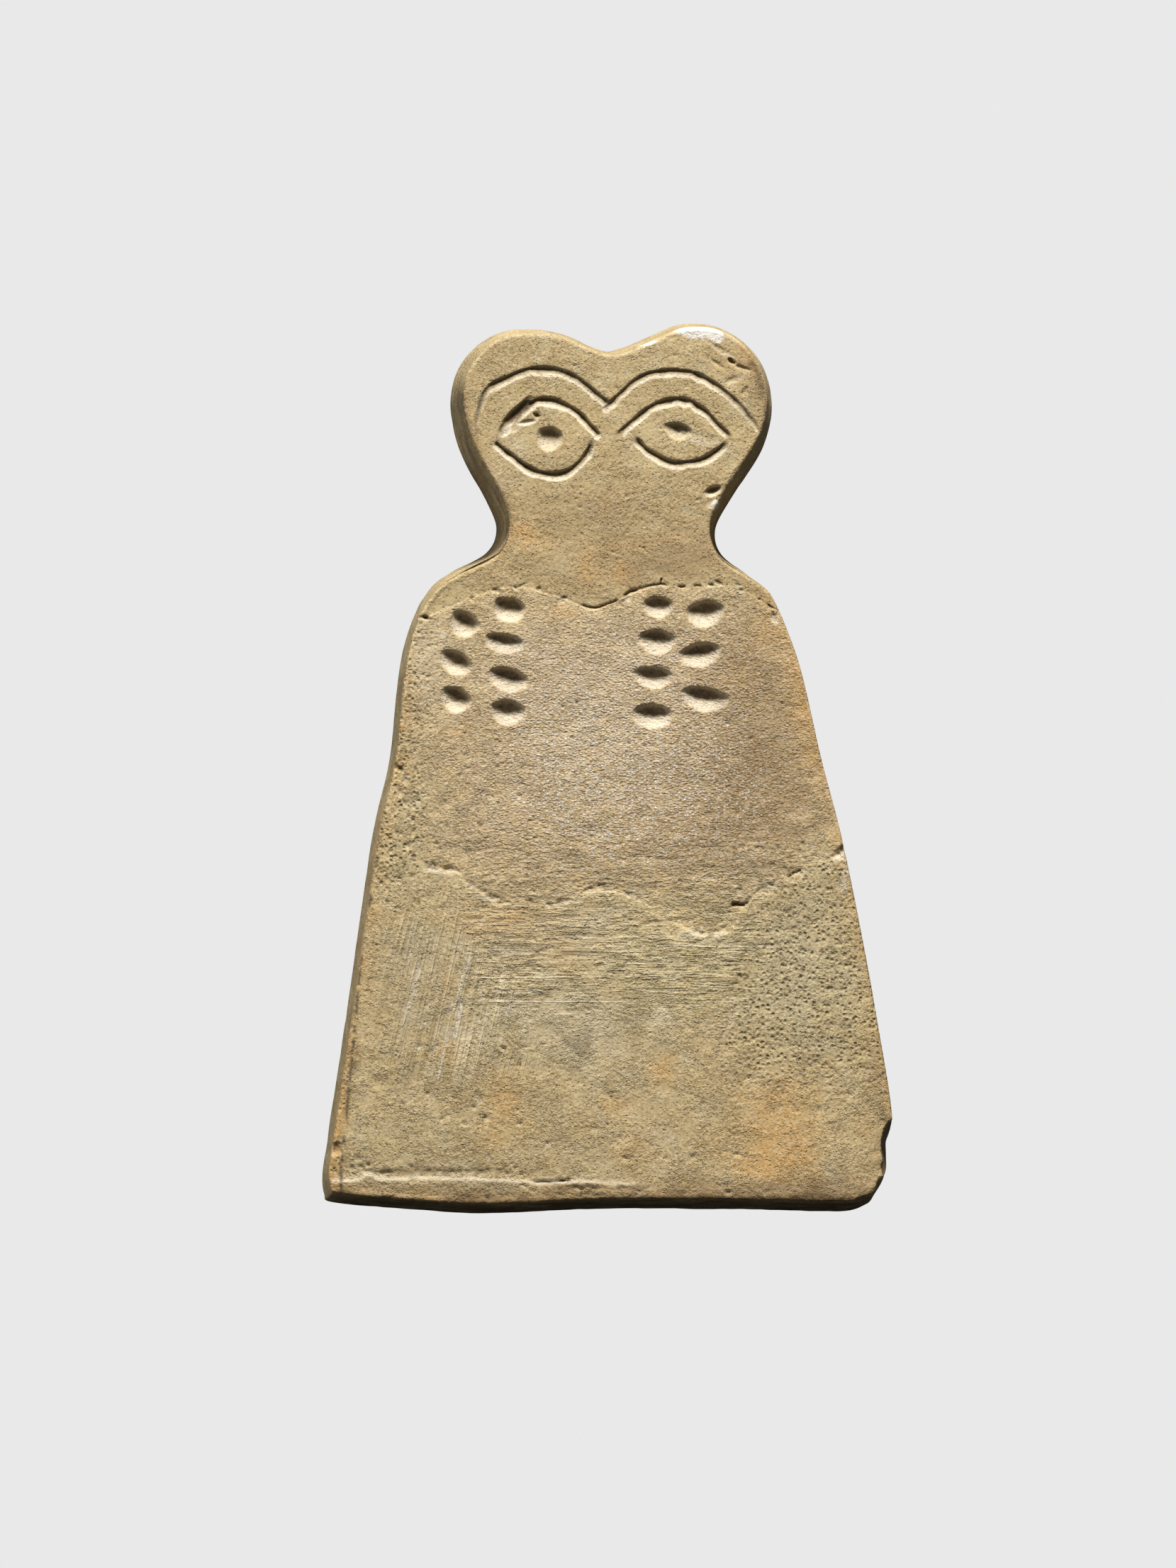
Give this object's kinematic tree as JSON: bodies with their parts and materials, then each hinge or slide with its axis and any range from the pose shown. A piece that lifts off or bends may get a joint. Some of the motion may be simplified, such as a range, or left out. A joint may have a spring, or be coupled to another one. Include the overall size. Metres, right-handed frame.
{
  "type": "eye idol",
  "caption": "Thin carved stone plaque: a pair of incised eyes on a two-lobed head above a flaring body with drilled pits",
  "frame": {"origin": "on the underside, which is the uncarved back, in the middle of the outline's box", "axes": "+Y runs from the foot to the head, +X to the right of the carved face, +Z out of the carved face"},
  "size_m": [0.0414, 0.065, 0.006],
  "materials": {
    "stone": "worn, matt"
  },
  "bodies": {
    "root": {"idol": "stone"}
  },
  "joints": []
}
